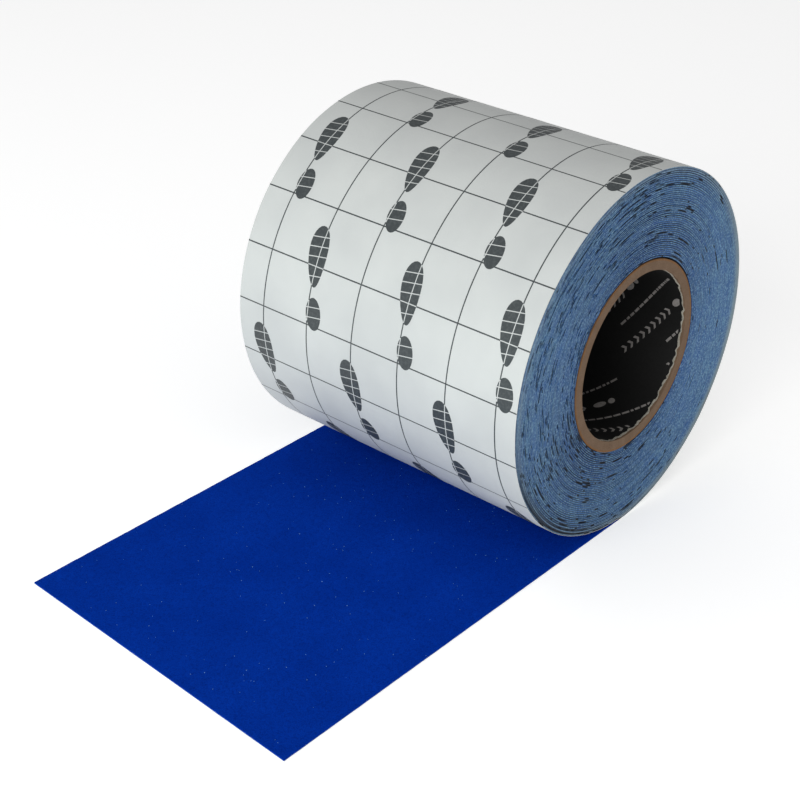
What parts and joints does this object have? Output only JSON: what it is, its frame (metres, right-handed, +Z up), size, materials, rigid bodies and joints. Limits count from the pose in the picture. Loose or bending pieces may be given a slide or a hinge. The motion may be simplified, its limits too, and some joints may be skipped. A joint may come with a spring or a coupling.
{
  "type": "grip tape roll",
  "caption": "Roll of blue anti-slip grit tape with a printed paper liner, wound on a black-lined paper core, with a short unrolled tail.",
  "frame": {"origin": "centre of the core's bore, at the middle of the tape's width", "axes": "+Y along the core's axis, +Z up, the unrolled tail lies towards -X"},
  "size_m": [0.2957, 0.1524, 0.1652],
  "materials": {
    "liner": "satin",
    "adhesive": "satin",
    "film": "satin",
    "grit": "matte",
    "kraft_board": "matte",
    "printed_paper": "satin",
    "tack_strip": "satin"
  },
  "bodies": {
    "laid_tape": {"laid_liner": "liner", "laid_adhesive": "adhesive", "laid_film": "film", "laid_grit": "grit"},
    "liftoff": {"liftoff_liner": "liner", "liftoff_adhesive": "adhesive", "liftoff_film": "film", "liftoff_grit": "grit"},
    "roll": {"core_printed_ply": "printed_paper", "core_kraft_ply_1": "kraft_board", "core_kraft_ply_2": "kraft_board", "core_kraft_ply_3": "kraft_board", "core_kraft_ply_4": "kraft_board", "core_kraft_ply_5": "kraft_board", "core_kraft_ply_6": "kraft_board", "start_tack_strip": "tack_strip", "wound_liner": "liner", "wound_adhesive": "adhesive", "wound_film": "film", "wound_grit": "grit"},
    "tape_end": {"end_liner": "liner", "bend_adhesive": "adhesive", "bend_film": "film", "bend_grit": "grit"},
    "end_flap": {"flap_adhesive": "adhesive", "flap_film": "film", "flap_grit": "grit"}
  },
  "joints": [
    {"name": "roll_travel", "type": "slide", "parent": "laid_tape", "child": "liftoff", "axis": [-1, 0, 0], "range_m": [0, 0.07], "deforming": ["laid_liner", "laid_adhesive", "laid_film", "laid_grit"]},
    {"name": "roll_turn", "type": "hinge", "parent": "liftoff", "child": "roll", "pos_m": [0, 0, 0], "axis": [0, -1, 0], "range_deg": [0, 48.6]},
    {"name": "end_lift", "type": "hinge", "parent": "laid_tape", "child": "tape_end", "pos_m": [-0.155, 0, -0.08192], "axis": [0, 1, 0], "range_deg": [0, 30]},
    {"name": "flap_peel", "type": "hinge", "parent": "tape_end", "child": "end_flap", "pos_m": [-0.165, 0, -0.08192], "axis": [0, 1, 0], "range_deg": [0, 75]}
  ],
  "couplings": [
    {"joint": "roll_turn", "follows": "roll_travel", "rad_per_m": 12.08}
  ]
}
